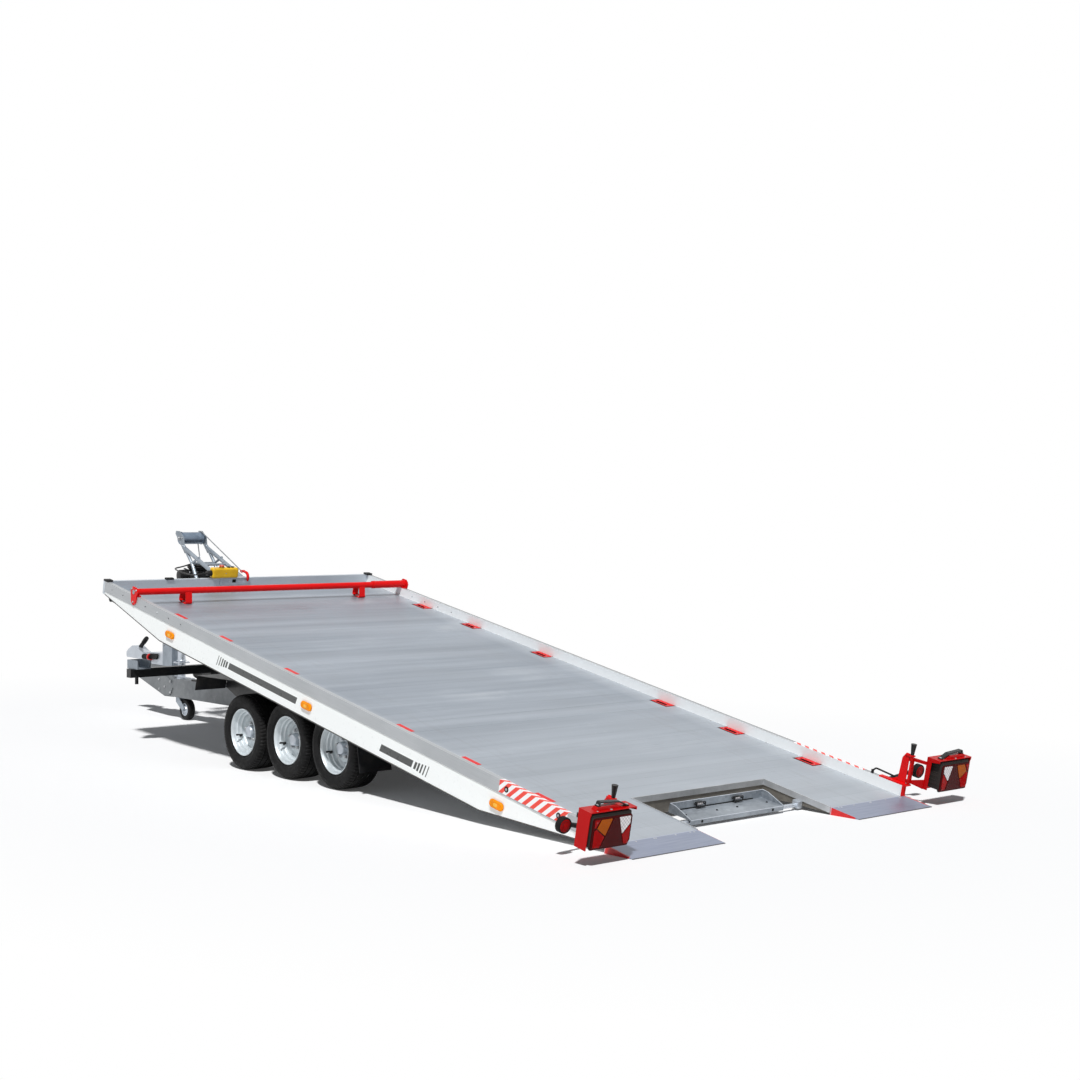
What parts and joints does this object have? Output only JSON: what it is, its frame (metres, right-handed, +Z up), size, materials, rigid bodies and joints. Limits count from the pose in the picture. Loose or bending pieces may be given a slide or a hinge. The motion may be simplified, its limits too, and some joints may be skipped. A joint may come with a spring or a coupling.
{
  "type": "car transporter trailer",
  "caption": "Tilting car transporter trailer with rigid axles, planked aluminium deck with ramp tips, winch stand, folding lamp holders and jockey wheel.",
  "frame": {"origin": "on the ground, in the middle of the trailer's length and width", "axes": "+X towards the coupling, +Y to the left, +Z up"},
  "size_m": [7.1154, 2.784, 1.4493],
  "materials": {
    "deck_planks": "satin, extruded planks",
    "rail_aluminium": "satin",
    "white_paint": "gloss",
    "black_paint": "semi-gloss",
    "red_paint": "gloss",
    "zinc": "hot-dip galvanised, spangled",
    "silver_paint": "semi-gloss",
    "tyre_rubber": "matt",
    "black_rubber": "matt",
    "black_plastic": "matt",
    "yellow_plastic": "satin",
    "amber_lens": "gloss",
    "lamp_lens": "gloss",
    "steel_rope": "stranded"
  },
  "bodies": {
    "chassis": {"chassis_frame": "black_paint", "axles": "black_paint", "mudguards": "black_plastic", "drawbar": "zinc", "holder_post": "zinc", "front_crossbar": "black_paint", "front_rests": "zinc", "overrun_device": "silver_paint", "drawbar_levers": "black_plastic", "coupling_head": "zinc", "jockey_tube": "zinc", "hydraulic_pump": "black_paint"},
    "platform": {"deck": "deck_planks", "tie_down_slots": "red_paint", "side_rails": "rail_aluminium", "side_beams": "white_paint", "bulkhead": "rail_aluminium", "corner_caps": "black_rubber", "ramp_wedges": "red_paint", "cutout_frame": "rail_aluminium", "platform_frame": "black_paint", "cross_shaft": "zinc", "wheel_stop_bar": "red_paint", "winch_stand": "zinc", "winch": "black_paint", "winch_rope": "steel_rope", "rope_hook": "red_paint", "pendant": "yellow_plastic", "pendant_cable": "black_rubber", "pendant_coil": "black_rubber", "marker_lamps": "amber_lens", "lamp_brackets": "red_paint", "lamp_knobs": "black_plastic", "lamp_leads": "black_rubber"},
    "plate_carrier": {"number_plate_carrier": "zinc", "plate_lamps": "black_plastic"},
    "roller": {"rope_roller": "zinc"},
    "lift_barrel": {"cylinder_barrel": "black_paint"},
    "lift_rod": {"cylinder_rod": "silver_paint"},
    "jockey_leg": {"jockey_leg": "zinc"},
    "jockey_fork": {"jockey_fork": "zinc"},
    "jockey_wheel": {"jockey_wheel": "black_rubber"},
    "lamp_holder_left": {"lamp_holder_left": "red_paint", "lamp_handle_left": "black_plastic", "tail_lamp_left": "lamp_lens"},
    "wheel_front_left": {"rim_front_left": "silver_paint", "tyre_front_left": "tyre_rubber"},
    "wheel_middle_left": {"rim_middle_left": "silver_paint", "tyre_middle_left": "tyre_rubber"},
    "wheel_rear_left": {"rim_rear_left": "silver_paint", "tyre_rear_left": "tyre_rubber"},
    "lamp_holder_right": {"lamp_holder_right": "red_paint", "lamp_handle_right": "black_plastic", "tail_lamp_right": "lamp_lens"},
    "wheel_front_right": {"rim_front_right": "silver_paint", "tyre_front_right": "tyre_rubber"},
    "wheel_middle_right": {"rim_middle_right": "silver_paint", "tyre_middle_right": "tyre_rubber"},
    "wheel_rear_right": {"rim_rear_right": "silver_paint", "tyre_rear_right": "tyre_rubber"}
  },
  "joints": [
    {"name": "platform_tilt", "type": "hinge", "parent": "chassis", "child": "platform", "pos_m": [-0.44227, 0, 0.46], "axis": [0, 1, 0], "range_deg": [0, 11.25]},
    {"name": "lift_barrel_swing", "type": "hinge", "parent": "chassis", "child": "lift_barrel", "pos_m": [0.55773, 0, 0.36], "axis": [0, 1, 0], "range_deg": [0, 23.47]},
    {"name": "lift_rod_slide", "type": "slide", "parent": "lift_barrel", "child": "lift_rod", "axis": [0.8215, 0, 0.5702], "range_m": [-0.09529, 0]},
    {"name": "plate_carrier_fold", "type": "hinge", "parent": "platform", "child": "plate_carrier", "pos_m": [-3.10157, 0, 0.02761], "axis": [0, 1, 0], "range_deg": [-90, 0]},
    {"name": "rope_roller_spin", "type": "hinge", "parent": "platform", "child": "roller", "pos_m": [2.43524, 0.07, 1.39404], "axis": [0, 1, 0], "continuous": true},
    {"name": "jockey_leg_slide", "type": "slide", "parent": "chassis", "child": "jockey_leg", "axis": [0, 0, -1], "range_m": [0, 0.15]},
    {"name": "jockey_swivel", "type": "hinge", "parent": "jockey_leg", "child": "jockey_fork", "pos_m": [2.71773, 0, 0.1], "axis": [0, 0, 1], "continuous": true},
    {"name": "jockey_wheel_spin", "type": "hinge", "parent": "jockey_fork", "child": "jockey_wheel", "pos_m": [2.62773, 0, 0.08], "axis": [0, 1, 0], "continuous": true},
    {"name": "lamp_swing_left", "type": "hinge", "parent": "platform", "child": "lamp_holder_left", "pos_m": [-3.36224, 1.1, 0.18477], "axis": [-0.1951, 0, 0.9808], "range_deg": [0, 90]},
    {"name": "wheel_front_left_spin", "type": "hinge", "parent": "chassis", "child": "wheel_front_left", "pos_m": [0.06273, 0.9375, 0.232], "axis": [0, 1, 0], "continuous": true},
    {"name": "wheel_middle_left_spin", "type": "hinge", "parent": "chassis", "child": "wheel_middle_left", "pos_m": [-0.44227, 0.9375, 0.232], "axis": [0, 1, 0], "continuous": true},
    {"name": "wheel_rear_left_spin", "type": "hinge", "parent": "chassis", "child": "wheel_rear_left", "pos_m": [-0.94727, 0.9375, 0.232], "axis": [0, 1, 0], "continuous": true},
    {"name": "lamp_swing_right", "type": "hinge", "parent": "platform", "child": "lamp_holder_right", "pos_m": [-3.36224, -1.1, 0.18477], "axis": [-0.1951, 0, 0.9808], "range_deg": [-90, 0]},
    {"name": "wheel_front_right_spin", "type": "hinge", "parent": "chassis", "child": "wheel_front_right", "pos_m": [0.06273, -0.9375, 0.232], "axis": [0, 1, 0], "continuous": true},
    {"name": "wheel_middle_right_spin", "type": "hinge", "parent": "chassis", "child": "wheel_middle_right", "pos_m": [-0.44227, -0.9375, 0.232], "axis": [0, 1, 0], "continuous": true},
    {"name": "wheel_rear_right_spin", "type": "hinge", "parent": "chassis", "child": "wheel_rear_right", "pos_m": [-0.94727, -0.9375, 0.232], "axis": [0, 1, 0], "continuous": true}
  ],
  "couplings": [
    {"joint": "lift_barrel_swing", "follows": "platform_tilt", "ratio": 2.0857},
    {"joint": "lift_rod_slide", "follows": "platform_tilt", "m_per_rad": -0.48521}
  ]
}
